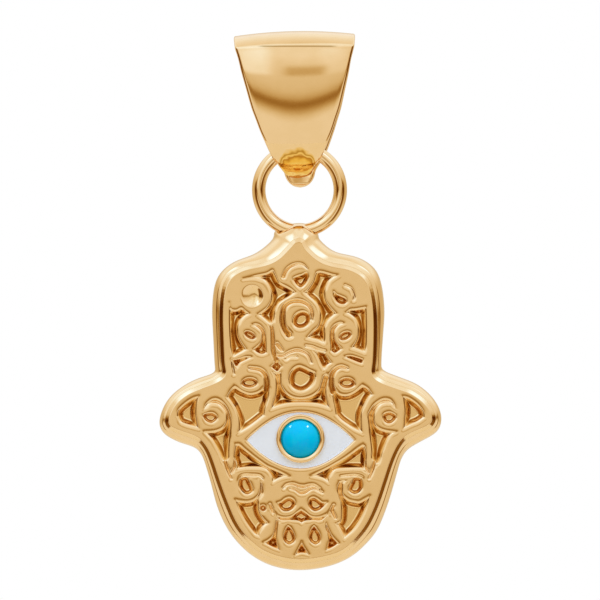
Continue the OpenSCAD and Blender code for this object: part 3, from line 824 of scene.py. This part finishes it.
def hand_shell(gold):
    """Rim and back of the hand as rings from the flat front's edge to the back: a lip under the front, a
    shoulder whose height is the sum of its tilts outward, levelled off by a hyperbolic tangent, a straight
    side, a quarter round, and a flat back. The shoulder's tilts at the sides pass into those of the neck as
    the crease fades."""
    outline, flat = edge_curve(0), edge_curve(1)
    rim = np.hypot(*(outline - flat).T)[:, None] * STEP
    out = np.linspace(0, 1, SHOULDER_RINGS)
    neck = (1 - crease_share(flat[:, 1])) / (1 - RIM_ROUND_LEAST)
    at_side, at_neck = (np.interp(out, *tilts)[:, None] for tilts in (SHOULDER_TILTS, NECK_TILTS))
    tilt = at_side * (1 - neck) + at_neck * neck
    slope = np.tan(np.radians(tilt)) * rim.T
    fall = np.vstack([0 * neck, np.cumsum((slope[1:] + slope[:-1]) / 2 * np.diff(out)[:, None], 0)])
    fall = SHOULDER_MOST * np.tanh(fall / SHOULDER_MOST)
    start = RIM_ROUND * crease_share(flat[:, 1]) - HALF_T
    side = np.linspace(0, 1, SIDE_RINGS + 1)[1:, None]
    inset = [np.array([-LIP_INSET]), out, np.ones(SIDE_RINGS)]
    level = [start + LIP_BACK, *(start + fall)]
    level += list(level[-1] * (1 - side) + (HALF_T - BACK_ROUND) * side)
    quarter = np.linspace(0, np.pi / 2, ROUND_RINGS + 1)[1:]
    rings = [flat + (outline - flat) * s for s in np.concatenate(inset)]
    rings += [outline + (flat - outline) * (BACK_ROUND * (1 - math.cos(v)) / np.maximum(rim, RIM_LEAST))
              for v in quarter]
    level += [np.full(len(flat), HALF_T - BACK_ROUND + BACK_ROUND * math.sin(v)) for v in quarter]
    rings = np.array(rings)
    points = to_place(CENTRE + rings[..., 0], LOW - rings[..., 1], np.array(level))
    n = rings.shape[1]
    strips = grid_faces(len(rings), n, wrap_columns=True)
    quads, ends = ladder(n, (len(rings) - 1) * n)
    make_piece("rim_and_back", points.reshape(-1, 3), [strips, quads, ends], gold, "pendant",
               "hamsa_body", flat_from=len(strips))


def turned_piece(name, profile, centre, turns, gold_or_stone, node):
    """Surface of revolution about the Y axis through the centre: (radius, y) profile points, closed at the
    axis where the profile starts or ends there and closed on itself otherwise."""
    profile = np.array(profile, float)
    angle = np.linspace(0, 2 * np.pi, turns, endpoint=False)
    r, y = profile[:, :1], profile[:, 1:]
    x = centre[0] + r * np.cos(angle)
    z = centre[1] + r * np.sin(angle)
    points = np.stack([x, np.broadcast_to(y, x.shape), z], -1) * MM
    pole_first, pole_last = profile[0, 0] == 0, profile[-1, 0] == 0
    if not (pole_first or pole_last):
        faces = [grid_faces(len(profile), turns, wrap_rows=True, wrap_columns=True)]
        return make_piece(name, points.reshape(-1, 3), faces, gold_or_stone, "pendant", node)
    inner = points[1:-1]
    count = len(inner) * turns
    flat = np.vstack([inner.reshape(-1, 3), points[0, 0], points[-1, 0]])
    i = np.arange(turns)
    first = np.stack([np.full(turns, count), i, (i + 1) % turns], 1)
    base = (len(inner) - 1) * turns
    last = np.stack([np.full(turns, count + 1), base + (i + 1) % turns, base + i], 1)
    faces = [grid_faces(len(inner), turns, wrap_columns=True), first, last]
    return make_piece(name, flat, faces, gold_or_stone, "pendant", node)


def bezel(gold):
    """Wall round the stone: upright outside, a rounded top, and a lip that slopes in to the stone."""
    top = -HALF_T - BEZEL_RISE
    foot = -HALF_T + BEZEL_FOOT
    inner = STONE_R - BEZEL_TUCK
    profile = [(BEZEL_R, foot), (BEZEL_R, top + BEZEL_ROUND)]
    for a in np.radians(np.linspace(*BEZEL_ARC)):
        profile.append((BEZEL_R - BEZEL_ROUND * (1 - math.cos(a)), top + BEZEL_ROUND * (1 - math.sin(a))))
    profile += [(inner + out, top + below) for out, below in BEZEL_LIP]
    profile += [(inner, foot)]
    turned_piece("bezel", profile, (EYE_X, EYE_Z + STONE_UP), BEZEL_TURNS, gold, "hamsa_body")


def enamel(white):
    """Slab of enamel between the almond and the bezel, as closed rings along rays from the centre: its face
    is flat and rises where it meets the metal, by a height that dies away with the distance from it."""
    rim = almond_outline(EYE_HALF_W - ENAMEL_GAP, EYE_HALF_H - ENAMEL_GAP)
    centre = np.array([0, STONE_UP])
    ray = rim - centre
    hole = centre + ray / np.hypot(*ray.T)[:, None] * (BEZEL_R - ENAMEL_TUCK)
    share = np.array(ENAMEL_RINGS)
    gap = np.hypot(*(rim - hole).T)
    near = np.minimum(share[:, None], 1 - share[:, None]) * gap
    rise = MENISCUS * np.exp(-near / MENISCUS_WIDE)
    face = -HALF_T + ENAMEL_SINK - rise
    rings = hole + (rim - hole) * share[:, None, None]
    back = -HALF_T + POCKET_DEPTH
    rings = np.concatenate([rings[:1], rings, rings[-1:]])
    y = np.concatenate([np.full((1, len(rim)), back), face, np.full((1, len(rim)), back)])
    points = np.stack([EYE_X + rings[..., 0], y, EYE_Z + rings[..., 1]], -1) * MM
    faces = [grid_faces(len(rings), len(rim), wrap_rows=True, wrap_columns=True)]
    make_piece("enamel_eye", points.reshape(-1, 3), faces, white, "pendant", "white_enamel")


def stone(blue):
    """Cabochon: a cap of a sphere over an upright girdle, with a flat base."""
    cap_r = (STONE_R**2 + STONE_DOME**2) / (2 * STONE_DOME)
    a = np.linspace(0, math.asin(STONE_R / cap_r), STONE_RINGS)
    profile = [(cap_r * math.sin(v), -HALF_T - STONE_DOME + cap_r * (1 - math.cos(v))) for v in a]
    profile += [(STONE_R, STONE_GIRDLE - HALF_T), (STONE_R, STONE_BASE - HALF_T), (0, STONE_BASE - HALF_T)]
    profile[0] = (0, profile[0][1])
    centre = (EYE_X, EYE_Z + STONE_UP)
    return turned_piece("turquoise_dome", profile, centre, STONE_TURNS, blue,
                        "turquoise_cabochon")


def jump_ring(gold):
    """Soldered ring: a round wire carried round a circle."""
    u = np.linspace(0, 2 * np.pi, RING_TURNS, endpoint=False)[:, None]
    v = np.linspace(0, 2 * np.pi, WIRE_TURNS, endpoint=False)[None, :]
    r = RING_R + RING_WIRE_R * np.cos(v)
    x, z, y = r * np.sin(u), PIVOT_Z - RING_R + r * np.cos(u), RING_WIRE_R * np.sin(v)
    points = np.stack([x, np.broadcast_to(y, x.shape), z], -1) * MM
    faces = [grid_faces(RING_TURNS, WIRE_TURNS, wrap_rows=True, wrap_columns=True)]
    make_piece("jump_ring", points.reshape(-1, 3), faces, gold, "pendant", "hamsa_body")


def arc(centre_y, centre_z, radius, start, end):
    """Points of a circle from one angle to another, measured from the front downward in degrees."""
    a = np.radians(np.linspace(start, end, ARC_STEPS))
    return np.stack([centre_y - radius * np.cos(a), centre_z - radius * np.sin(a)], 1)


def strip_path():
    """Side view of the bail's outer face from the front leaf's tip, up the bowed front leaf, over the top
    and down the back leaf to the tongue: three arcs and a path as smoothed (y, z) points, evenly spaced."""
    line = np.vstack([arc(*TIP_ARC), arc(*LEAF_ARC)[1:], arc(*CROWN_ARC), np.array(TONGUE_PATH)])
    length = np.concatenate([[0], np.cumsum(np.hypot(*np.diff(line, axis=0).T))])
    even = np.linspace(0, length[-1], BAIL_STATIONS)
    line = np.stack([np.interp(even, length, line[:, k]) for k in range(2)], 1)
    return smoothed(line, PATH_ROUNDS), even


def section_loop(flat=28, corner=7):
    """Rounded rectangle as shares: across its flat, round its corner, through its flat, round it."""
    a = np.linspace(0, np.pi / 2, corner)
    one = np.ones(corner)
    right_top = np.stack([one, np.sin(a), one, np.cos(a)], 1)
    x = np.linspace(-1, 1, flat)[:-1]
    top = np.stack([x, 0 * x, 0 * x + 1, 0 * x + 1], 1)
    right_low = right_top[::-1] * [1, 1, -1, -1]
    left_top = right_top[::-1] * [-1, -1, 1, 1]
    return np.vstack([top, right_top, right_low[1:], -top[1:], -right_top[:-1], left_top[:-1]])


def ring_room(reach, swing):
    """Half width free inside the ring's hole for a point at a distance from the pivot, when the ring swings
    as near to it as its limit lets it: the chord of the hole at that distance along the ring, the wire
    counted only as thick as it is where the point passes beside it."""
    beyond = np.clip(np.abs(swing) - math.radians(SWING_LIMIT), 0, math.pi / 2)
    wire = np.sqrt(np.clip(RING_WIRE_R ** 2 - (reach * np.sin(beyond)) ** 2, 0, None))
    chord = (RING_R - wire) ** 2 - (RING_R - reach * np.cos(beyond)) ** 2
    return np.sqrt(np.clip(chord, 0, None)) - RING_GAP


def bail_strip(gold):
    """Bail: a rounded rectangle carried along its side view, thicker at the sole and narrowed by its taper.

    Its face is crowned: it falls with the square of the share of the half width. Its tips are quarter
    circles, its edges are tighter at the top, and its inner face is narrower where the ring swings past.
    The front leaf is moved aside by a share that grows toward its tip, and the whole leans about the pivot.
    """
    line, s = strip_path()
    tangent = np.gradient(line, axis=0)
    tangent /= np.hypot(*tangent.T)[:, None]
    normal = smoothed(np.stack([-tangent[:, 1], tangent[:, 0]], 1), NORMAL_ROUNDS)
    normal /= np.hypot(*normal.T)[:, None]
    fall = (BAIL_TOP_Z - line[:, 1]) / (BAIL_TOP_Z - BAIL_LOW_Z)
    half_w = np.interp(fall, *np.transpose(BAIL_TAPER)) * BAIL_HALF_W
    front = s < s[-1] / 2
    half_w = smoothed(np.where(front, half_w, np.maximum(half_w, TONGUE_HALF)), WIDTH_ROUNDS)
    end = np.minimum(s, s[-1] - s)
    tip_r = np.where(front, FRONT_TIP, TONGUE_HALF)
    half_w *= np.sqrt(np.clip(1 - (1 - np.clip(end / tip_r, 0, 1)) ** 2, ROUND_LEAST, 1))
    lowest = s[np.argmin(np.where(front, line[:, 1], 0))]
    sole = np.exp(-((s - lowest) / SOLE_SPREAD) ** 2) * front
    thick = (BAIL_WALL + (BAIL_SOLE - BAIL_WALL) * sole) * np.minimum(1, END_THIN + end / END_LENGTH)
    inside = line - normal * thick[:, None]
    up = PIVOT_Z - inside[:, 1]
    room = ring_room(np.hypot(inside[:, 0], up), np.arctan2(-inside[:, 0], up))
    kept = np.where(front, np.clip((room + BAIL_ASIDE) / half_w, INSIDE_LEAST, 1), 1)
    kept = smoothed(kept, WIDTH_ROUNDS)[:, None]
    half_w, thick = half_w[:, None], thick[:, None]
    growth = np.clip(fall * EDGE_GROWTH, EDGE_LEAST, 1)[:, None]
    edge_x = np.minimum(EDGE_ACROSS * growth, half_w * ACROSS_MOST)
    edge_t = np.minimum(EDGE_THROUGH, thick * THROUGH_MOST) * kept
    loop = section_loop()
    x = loop[:, 0] * (half_w - edge_x) + loop[:, 1] * edge_x
    x[:, loop[:, 2] < 0] *= kept
    out = loop[:, 2] * (thick / 2 - edge_t) + loop[:, 3] * edge_t - thick / 2
    out -= BAIL_CROWN * half_w / BAIL_HALF_W * (x / half_w) ** 2
    y = line[:, :1] + normal[:, :1] * out
    rise = line[:, 1:] + normal[:, 1:] * out - PIVOT_Z
    x += BAIL_ASIDE * np.clip((1 - s / s[-1]) / ASIDE_SHARE, 0, 1)[:, None]
    c, d = math.cos(math.radians(BAIL_LEAN)), math.sin(math.radians(BAIL_LEAN))
    points = np.stack([x * c - rise * d, y, PIVOT_Z + x * d + rise * c], -1) * MM
    n = len(loop)
    fan = np.arange(1, n - 1)
    first = np.stack([0 * fan, fan, fan + 1], 1)
    faces = [grid_faces(len(s), n, wrap_columns=True), first, (len(s) - 1) * n + first[:, [0, 2, 1]]]
    strip = make_piece("bail_strip", points.reshape(-1, 3), faces, gold, "bail", "bail")
    turn_outward(strip)


def turn_outward(piece):
    """Turns the faces of a closed piece outward."""
    work = bmesh.new()
    work.from_mesh(piece.data)
    bmesh.ops.recalc_face_normals(work, faces=work.faces)
    work.to_mesh(piece.data)
    work.free()


class Value:
    """A number that varies over a surface: arithmetic on it adds Math nodes."""

    def __init__(self, shader, socket):
        self.shader, self.socket = shader, socket

    def __add__(self, other):
        return self.shader.math("ADD", self, other)

    def __sub__(self, other):
        return self.shader.math("SUBTRACT", self, other)

    def __rsub__(self, other):
        return self.shader.math("SUBTRACT", other, self)

    def __mul__(self, other):
        return self.shader.math("MULTIPLY", self, other)

    __radd__, __rmul__ = __add__, __mul__


class Shader:
    """Nodes of one material or world."""

    def __init__(self, owner):
        owner.use_nodes = True
        self.tree = owner.node_tree
        self.tree.nodes.clear()

    def node(self, kind, settings=None, output=0, **inputs):
        """A node: its settings are made first, then its inputs, values or links by name or number."""
        node = self.tree.nodes.new(kind)
        for key, value in (settings or {}).items():
            setattr(node, key, value)
        for key, value in inputs.items():
            numbered = key[0] == "i" and key[1:].isdigit()
            socket = node.inputs[int(key[1:]) if numbered else key.replace("_", " ")]
            if isinstance(value, Value):
                self.tree.links.new(value.socket, socket)
            else:
                socket.default_value = value
        return Value(self, node.outputs[output]) if len(node.outputs) else node

    def math(self, operation, *values):
        """A Math node."""
        inputs = {f"i{n}": v for n, v in enumerate(values)}
        return self.node("ShaderNodeMath", {"operation": operation}, **inputs)

    def size(self, value):
        """The value without its sign."""
        return self.math("ABSOLUTE", value)

    def ramp(self, value, low, high):
        """0 below low, 1 above high and a smooth step between."""
        return self.node("ShaderNodeMapRange", {"interpolation_type": "SMOOTHSTEP"},
                         i0=value, i1=low, i2=high, i3=0.0, i4=1.0)

    def beyond(self, value, edge):
        """1 below the edge's low end, 0 above its high end and a smooth step between."""
        return 1.0 - self.ramp(value, *edge)

    def stops(self, value, low, high, rows):
        """Colour ramp from low to high: straight lines between (place, colour) rows."""
        node = self.tree.nodes.new("ShaderNodeValToRGB")
        elements = node.color_ramp.elements
        while len(elements) < len(rows):
            elements.new(0.5)
        for element, (place, colour) in zip(elements, rows):
            element.position = (place - low) / (high - low)
            element.color = (*colour, 1)
        share = (value - low) * (1 / (high - low))
        self.tree.links.new(share.socket, node.inputs[0])
        return Value(self, node.outputs[0])

    def profile(self, value, rows):
        """Level of light by height: straight lines between (height, level) rows."""
        scaled = [(place, (level / LEVEL_MOST,) * 3) for place, level in rows]
        return self.stops(value, -90, 90, scaled) * LEVEL_MOST

    def noise(self, scale, detail=2.0, roughness=0.5):
        """Soft noise on object coordinates, in waves to the metre."""
        place = self.node("ShaderNodeTexCoord", output=3)
        return self.node("ShaderNodeTexNoise", i0=place, Scale=scale, Detail=detail, Roughness=roughness)

    def place(self, axis):
        """A place's x, y or z (0, 1 or 2) in object coordinates, in millimetres."""
        place = self.node("ShaderNodeTexCoord", output=3)
        return self.node("ShaderNodeSeparateXYZ", output=axis, i0=place) * (1 / MM)

    def mix(self, factor, first, second):
        """A colour between two colours."""
        return self.node("ShaderNodeMix", {"data_type": "RGBA"}, output=2, i0=factor, i6=first, i7=second)

    def finish(self, shade, kind="ShaderNodeOutputMaterial"):
        """The output node."""
        self.node(kind, i0=shade)

    def principled(self, **inputs):
        """The surface shader and its output."""
        self.finish(self.node("ShaderNodeBsdfPrincipled", **inputs))


def gold_metal(name, roughness, wave, recess_shade=False, tip=False):
    """Polished gold alloy: two near tints, slightly uneven gloss, and the shallow waves that hand polish
    leaves.

    In the hollows of the relief a painted shade follows the depth below the flat front, amber and brown
    down the walls and gold on the floor, and the gloss is duller. On the bail's tip a painted reflection of
    the ring follows the height, uneven by noise and lower with the fourth power of the distance aside, and
    a fine painted shadow line marks the fold over the top.
    """
    material = bpy.data.materials.new(name)
    s = Shader(material)
    colour = s.mix(s.ramp(s.noise(GOLD_CLOUDS, 3.0), 0.35, 0.65), (*GOLD_DEEP, 1), (*GOLD, 1))
    fine = s.noise(GOLD_GRAIN, 2.0)
    gloss = fine * GLOSS_UNEVEN + (roughness - GLOSS_UNEVEN / 2)
    # Painted shade in the hollows: darker amber and brown down the walls by depth, gold on the floor, with
    # duller gloss
    if recess_shade:
        below = s.place(1) + HALF_T
        sunk = s.ramp(below, CROWN_DROP, CROWN_DROP + RELIEF_DEPTH * RECESS_START)
        colour = s.mix(sunk, colour, s.stops(below, 0.0, RECESS_LOW, RECESS_SHADE_TINTS))
        gloss = gloss + sunk * RECESS_DULL
    if tip:
        level = s.place(2)
        aside = s.place(0) - TIP_X
        # Painted shade: a fine dark line along the fold over the top
        fold = s.beyond(s.size(level - FOLD_Z), FOLD_EDGE) * s.beyond(s.size(aside), FOLD_REACH)
        colour = s.mix(fold, colour, (*FOLD_SHADE_TINT, 1))
        # Painted reflection of the ring on the curled tip: amber and dark bands by height, uneven by noise
        aside = aside * aside
        level = level + (s.noise(TIP_WAVES, 1.0) - 0.5) * TIP_UNEVEN + aside * aside * TIP_DROP
        painted_reflection = s.stops(level, TIP_REFLECTION_TINTS[0][0], TIP_REFLECTION_TINTS[-1][0], TIP_REFLECTION_TINTS)
        colour = s.mix(s.beyond(level, TIP_END) * s.beyond(s.place(1), TIP_BACK), colour, painted_reflection)
    relief_height = s.noise(GOLD_WAVES, 2.0) + fine * 0.05
    normal = s.node("ShaderNodeBump", Strength=1.0, Distance=wave, Height=relief_height)
    s.principled(Base_Color=colour, Metallic=1.0, Roughness=gloss, Normal=normal)
    return material


def white_glaze():
    """Hard white enamel: faint cool and warm clouds under a clear gloss, with slight orange-peel."""
    material = bpy.data.materials.new("white_enamel")
    s = Shader(material)
    first, second = ENAMEL_TINTS
    colour = s.mix(s.ramp(s.noise(700.0, 3.0), 0.3, 0.7), (*first, 1), (*second, 1))
    normal = s.node("ShaderNodeBump", Strength=1.0, Distance=0.000004, Height=s.noise(2600.0))
    s.principled(Base_Color=colour, Roughness=0.12, Coat_Weight=0.6, Coat_Roughness=0.04, Normal=normal)
    return material


def blue_stone():
    """Turquoise-blue stone: even blue with faint lighter clouds, waxy gloss."""
    material = bpy.data.materials.new("turquoise")
    s = Shader(material)
    first, second = STONE_TINTS
    colour = s.mix(s.ramp(s.noise(1500.0, 4.0, 0.6), 0.3, 0.75), (*first, 1), (*second, 1))
    normal = s.node("ShaderNodeBump", Strength=1.0, Distance=0.000003, Height=s.noise(4000.0))
    s.principled(Base_Color=colour, Roughness=0.1, Specular_IOR_Level=0.12, Normal=normal)
    return material


def studio():
    """Soft studio light by the direction it comes from: one profile by height in front, whose bands hang
    lower in the middle, one at the sides and one behind. In front there are a dull strip, a brighter patch
    on each side and two round bright spots. Each level has its own tint. Seen directly, all is white."""
    world = bpy.data.worlds.new("studio")
    bpy.context.scene.world = world
    s = Shader(world)
    way = s.node("ShaderNodeTexCoord", output=0)
    x, y, z = (s.node("ShaderNodeSeparateXYZ", output=k, i0=way) for k in range(3))
    degrees = 180 / math.pi
    height = s.math("ARCSINE", z) * degrees
    aside = s.math("ARCTAN2", x, y * -1.0) * degrees
    apart = s.size(aside)
    middle = s.beyond(apart, SIDE_FROM)
    behind = s.ramp(apart, *BACK_FROM)
    bent = height - s.math("MINIMUM", apart * apart * BAND_SAG, BAND_SAG_MOST)
    streak = s.beyond(s.size(aside - STREAK_ASIDE), STREAK_ENDS)
    front = s.profile(bent, FRONT_LIGHT) - s.profile(height, STREAK_HEIGHTS) * streak
    patch = s.ramp(aside * -1.0, *PATCH_ASIDE) * PATCH_LEFT + s.ramp(aside, *PATCH_ASIDE) * PATCH_RIGHT
    front = front + patch * s.ramp(height, *PATCH_LOW) * s.beyond(height, PATCH_HIGH)
    side, back = s.profile(height, SIDE_LIGHT), s.profile(height, BACK_LIGHT)
    level = front * middle + (side * (1.0 - behind) + back * behind) * (1.0 - middle)
    across, up = apart - SPOT_ASIDE, height - SPOT_HEIGHT
    level = level + s.beyond(s.math("SQRT", across * across + up * up), SPOT_FADE) * SPOT_LEVEL
    places = LEVEL_MOST * np.linspace(0, 1, TINT_STOPS + 1) ** 2
    dim, bright = np.minimum(places, 1)[:, None], np.maximum(places, 1)[:, None]
    tints = TINT_GAINS * dim ** TINT_POWERS * bright ** BRIGHT_POWERS / TINT_SCALE
    tinted = s.stops(level, 0.0, LEVEL_MOST, list(zip(places, np.minimum(tints, 1))))
    light = s.node("ShaderNodeBackground", Color=tinted, Strength=TINT_SCALE)
    plain = s.node("ShaderNodeBackground", Color=(1.0, 1.0, 1.0, 1), Strength=1.0)
    seen = s.node("ShaderNodeLightPath", output=0)
    s.finish(s.node("ShaderNodeMixShader", i0=seen, i1=light, i2=plain), "ShaderNodeOutputWorld")


def softbox(name, aside, height, power, stone_only):
    """Small square lamp aimed at the stone, which alone it lights."""
    a, h = math.radians(aside), math.radians(height)
    way = Vector((math.sin(a) * math.cos(h), -math.cos(a) * math.cos(h), math.sin(h)))
    data = bpy.data.lights.new(name, "AREA")
    data.energy, data.size = power, LAMP_WIDTH
    light = bpy.data.objects.new(name, data)
    light.location = Vector((0, 0, EYE_Z * MM)) + way * LAMP_DISTANCE
    light.rotation_euler = way.to_track_quat("Z", "Y").to_euler()
    light.light_linking.receiver_collection = stone_only
    bpy.context.scene.collection.objects.link(light)


def floor():
    """Plain pale round floor well below the pendant."""
    a = np.linspace(0, 2 * np.pi, FLOOR_SIDES, endpoint=False)
    rim = np.stack([FLOOR_R * np.cos(a), FLOOR_R * np.sin(a), 0 * a + FLOOR_Z], 1)
    mesh = bpy.data.meshes.new("floor")
    mesh.from_pydata(rim.tolist(), [], [tuple(range(FLOOR_SIDES))])
    material = bpy.data.materials.new("floor")
    Shader(material).principled(Base_Color=(*FLOOR_TINT, 1), Roughness=0.8)
    mesh.materials.append(material)
    piece = bpy.data.objects.new("floor", mesh)
    bpy.context.scene.collection.objects.link(piece)


def camera():
    """Camera straight in front, far enough away for the picture to be nearly flat."""
    data = bpy.data.cameras.new("camera")
    data.sensor_width = SENSOR
    data.lens = SENSOR * VIEW_DISTANCE / VIEW_WIDTH
    data.clip_start, data.clip_end = 0.01, 10
    seen = bpy.data.objects.new("camera", data)
    seen.location = Vector((VIEW_X, -VIEW_DISTANCE, VIEW_Z)) * MM
    seen.rotation_euler = (math.pi / 2, 0, 0)
    bpy.context.scene.collection.objects.link(seen)
    bpy.context.scene.camera = seen


camera()
floor()
studio()
bpy.context.scene.view_settings.view_transform = "Standard"

cast_gold = gold_metal("cast_gold", 0.07, 0.000005)
# Gold of the carved front, with painted shade in its hollows
hand_front(gold_metal("carved_gold_painted_shade", 0.07, 0.000006, recess_shade=True))
hand_shell(cast_gold)
bezel(cast_gold)
jump_ring(cast_gold)
# Gold of the bail, with a painted reflection on its tip and a painted shadow line at the fold
bail_strip(gold_metal("polished_gold", 0.065, 0.000003, tip=True))
enamel(white_glaze())
stone_only = bpy.data.collections.new("stone_only")
stone_only.objects.link(stone(blue_stone()))
for lamp, (aside, height, power) in STONE_LAMPS.items():
    softbox(lamp, aside, height, power, stone_only)
